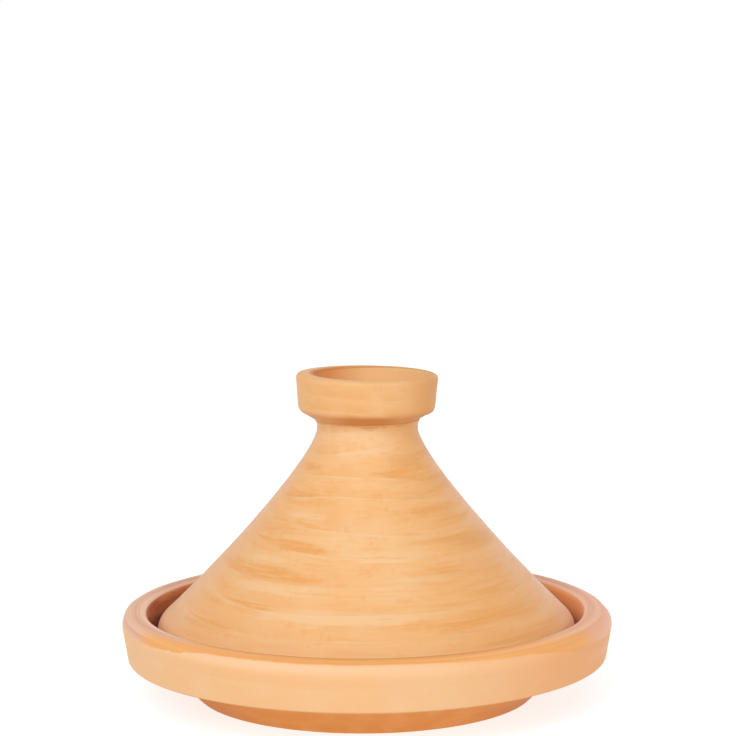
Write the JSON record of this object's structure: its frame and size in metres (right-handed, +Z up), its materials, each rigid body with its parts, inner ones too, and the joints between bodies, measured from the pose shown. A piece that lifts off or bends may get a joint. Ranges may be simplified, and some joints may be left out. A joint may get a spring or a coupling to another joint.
{
  "type": "tagine pot",
  "caption": "Unglazed terracotta tagine: a footed dish with an inner ledge, and a conical lift-off lid whose knob is a hollow cup.",
  "frame": {"origin": "middle of the foot's underside, on the surface that the dish stands on", "axes": "+Z up along the pot's axis of revolution; +X is the side towards which the knob's hollow is off centre; +Y is the back"},
  "size_m": [0.32, 0.32, 0.21],
  "materials": {
    "dish_clay": "matte",
    "cone_clay": "matte",
    "knob_clay": "matte"
  },
  "bodies": {
    "dish": {"dish": "dish_clay"},
    "lid": {"lid_cone": "cone_clay", "lid_knob": "knob_clay"}
  },
  "joints": [
    {"name": "lid_lift", "type": "slide", "parent": "dish", "child": "lid", "axis": [0, 0, 1], "range_m": [0, 0.16]}
  ]
}
